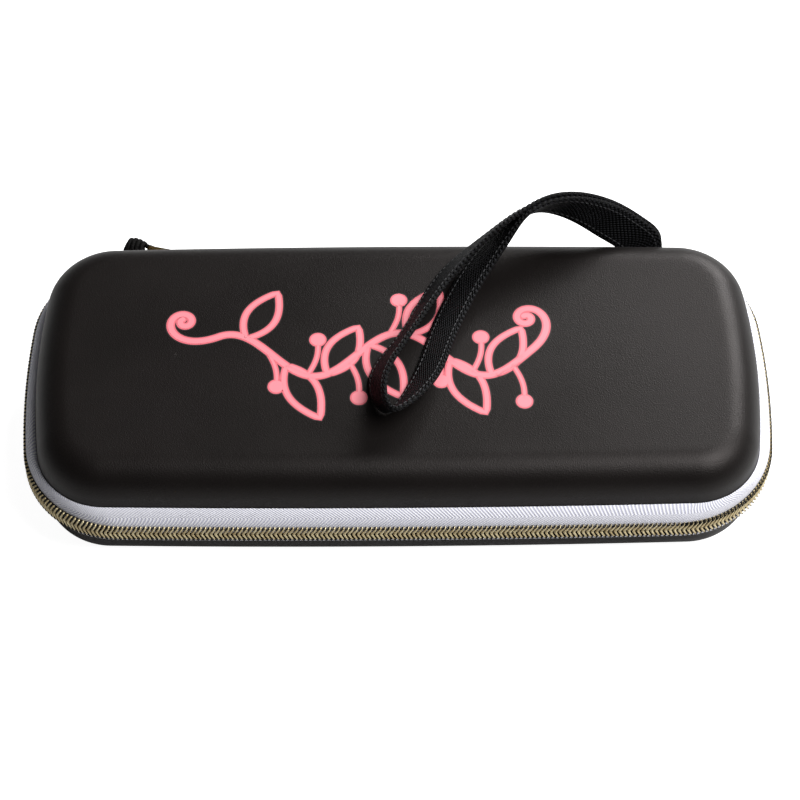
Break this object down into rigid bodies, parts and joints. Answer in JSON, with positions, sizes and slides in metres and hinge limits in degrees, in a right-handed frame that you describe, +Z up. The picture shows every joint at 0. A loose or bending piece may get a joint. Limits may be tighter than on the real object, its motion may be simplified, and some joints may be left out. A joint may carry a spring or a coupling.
{
  "type": "stethoscope hard case",
  "caption": "Long soft-cornered zip-around hard case for a stethoscope, two moulded halves on a fabric spine, with a wrist strap and a corded zip pull.",
  "frame": {"origin": "centre of the flat underside of the base, on the floor", "axes": "+X along the case to the right, +Y from the front to the spine, +Z up"},
  "size_m": [0.26, 0.1284, 0.0723],
  "materials": {
    "black_leather_cloth": "matte, fine grained",
    "eva_foam": "matte",
    "lining_knit": "matte",
    "binding_tape": "matte",
    "white_zip_tape": "matte",
    "gold_nylon_coil": "semi-gloss",
    "spine_fabric": "matte",
    "nylon_mesh": "matte",
    "elastic_band": "matte",
    "gold_metal": "polished",
    "pull_cord": "matte",
    "black_webbing": "matte"
  },
  "bodies": {
    "base": {"base_skin": "black_leather_cloth", "base_foam": "eva_foam", "base_lining": "lining_knit", "edge_binding_lower": "binding_tape", "zip_tape_lower": "white_zip_tape", "zip_coil_lower": "gold_nylon_coil", "spine_lower": "spine_fabric", "zip_tape_end": "white_zip_tape", "zip_coil_end": "gold_nylon_coil"},
    "lid": {"lid_skin": "black_leather_cloth", "lid_foam": "eva_foam", "lid_lining": "lining_knit", "edge_binding_upper": "binding_tape", "zip_tape_upper": "white_zip_tape", "zip_coil_upper": "gold_nylon_coil", "spine_upper": "spine_fabric", "mesh_pocket": "nylon_mesh", "pocket_band": "elastic_band"},
    "slider": {"slider_body": "gold_metal"},
    "pull": {"pull_tab": "gold_metal"},
    "cord": {"pull_cord": "pull_cord"},
    "strap": {"wrist_strap": "black_webbing"}
  },
  "joints": [
    {"name": "lid_hinge", "type": "hinge", "parent": "base", "child": "lid", "pos_m": [0, 0.0595, 0.0245], "axis": [-1, 0, 0], "range_deg": [0, 180]},
    {"name": "slider_run", "type": "slide", "parent": "base", "child": "slider", "axis": [-0.9999, -0.0162, 0], "range_m": [0, 0.007]},
    {"name": "pull_swing", "type": "hinge", "parent": "slider", "child": "pull", "pos_m": [-0.077, 0.0611, 0.0245], "axis": [0, 0, -1], "range_deg": [0, 140]},
    {"name": "cord_swing", "type": "hinge", "parent": "pull", "child": "cord", "pos_m": [-0.08945, 0.06409, 0.0245], "axis": [0, 0, -1], "range_deg": [-20, 20]},
    {"name": "strap_swing", "type": "hinge", "parent": "lid", "child": "strap", "pos_m": [0.0875, 0.05438, 0.0346], "axis": [1, 0, 0], "range_deg": [-110, 0]}
  ]
}
